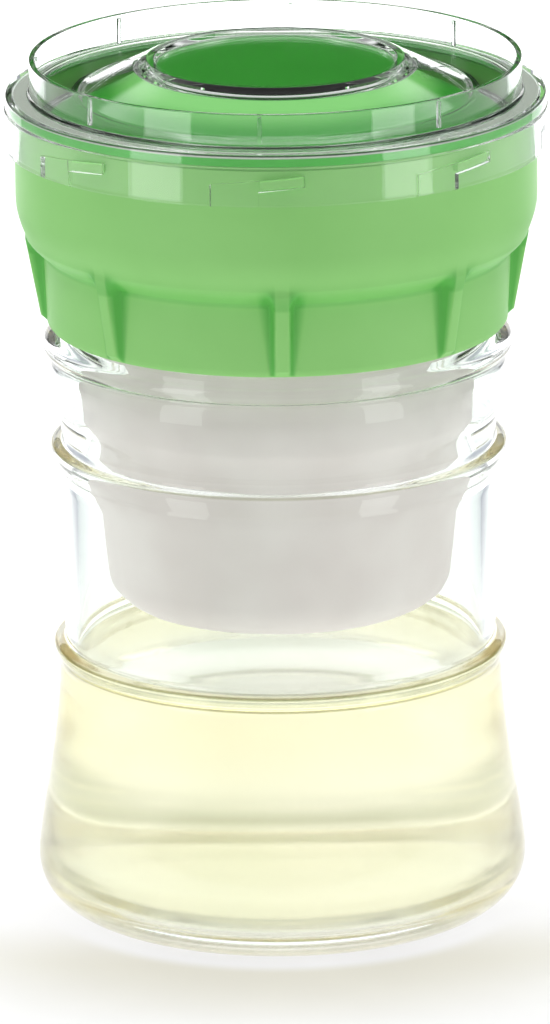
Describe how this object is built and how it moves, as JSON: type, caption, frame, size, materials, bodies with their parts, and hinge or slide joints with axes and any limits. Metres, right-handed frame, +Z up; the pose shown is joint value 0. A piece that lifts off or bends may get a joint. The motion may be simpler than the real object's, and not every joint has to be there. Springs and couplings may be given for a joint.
{
  "type": "kefir cheese maker",
  "caption": "Waisted glass jar with a screw-on green bowl that hangs a mesh strainer bag, a spring press and a clear bayonet cover, for draining and pressing soft cheese.",
  "frame": {"origin": "centre of the jar's foot, on the surface that it stands on", "axes": "+Z up along the jar's axis, -Y towards the front rib of the bowl"},
  "size_m": [0.1168, 0.1168, 0.1874],
  "materials": {
    "clear_glass": "polished",
    "clear_plastic": "clear, polished",
    "light_green_plastic": "satin",
    "deep_green_plastic": "satin",
    "natural_plastic": "satin",
    "silicone": "matt, translucent",
    "green_silicone": "matt",
    "mesh_cloth": "fine woven mesh",
    "spring_steel": "drawn wire",
    "whey": "cloudy liquid"
  },
  "bodies": {
    "jar": {"jar": "clear_glass", "whey": "whey"},
    "gasket_ring": {"jar_gasket": "silicone"},
    "collar": {"collar": "light_green_plastic", "strainer_hoop": "natural_plastic", "strainer_bag": "mesh_cloth", "bag_clamp_ring": "natural_plastic"},
    "press_head": {"press_cap": "deep_green_plastic", "top_disc": "deep_green_plastic", "cover_seal": "green_silicone", "firm_spring": "spring_steel", "soft_spring": "spring_steel"},
    "cover": {"clear_cover": "clear_plastic"},
    "plunger": {"press_plate": "natural_plastic", "press_stem": "natural_plastic", "stop_washer": "spring_steel", "stop_screw": "spring_steel"}
  },
  "joints": [
    {"name": "collar_rise", "type": "slide", "parent": "jar", "child": "gasket_ring", "axis": [0, 0, 1], "range_m": [0, 0.0041]},
    {"name": "collar_turn", "type": "hinge", "parent": "gasket_ring", "child": "collar", "pos_m": [0, 0, 0.14], "axis": [0, 0, 1], "range_deg": [0, 295]},
    {"name": "cover_rise", "type": "slide", "parent": "collar", "child": "press_head", "axis": [0, 0, 1], "range_m": [0, 0.00095]},
    {"name": "cover_twist", "type": "hinge", "parent": "press_head", "child": "cover", "pos_m": [0, 0, 0.174], "axis": [0, 0, 1], "range_deg": [0, 9.9]},
    {"name": "press_stroke", "type": "slide", "parent": "press_head", "child": "plunger", "axis": [0, 0, 1], "range_m": [0, 0.042], "stiffness_N_per_m": 870, "springref_m": -0.013, "deforming": ["firm_spring", "soft_spring"]}
  ],
  "couplings": [
    {"joint": "collar_turn", "follows": "collar_rise", "rad_per_m": 1256.6},
    {"joint": "cover_twist", "follows": "cover_rise", "rad_per_m": 181.82}
  ]
}
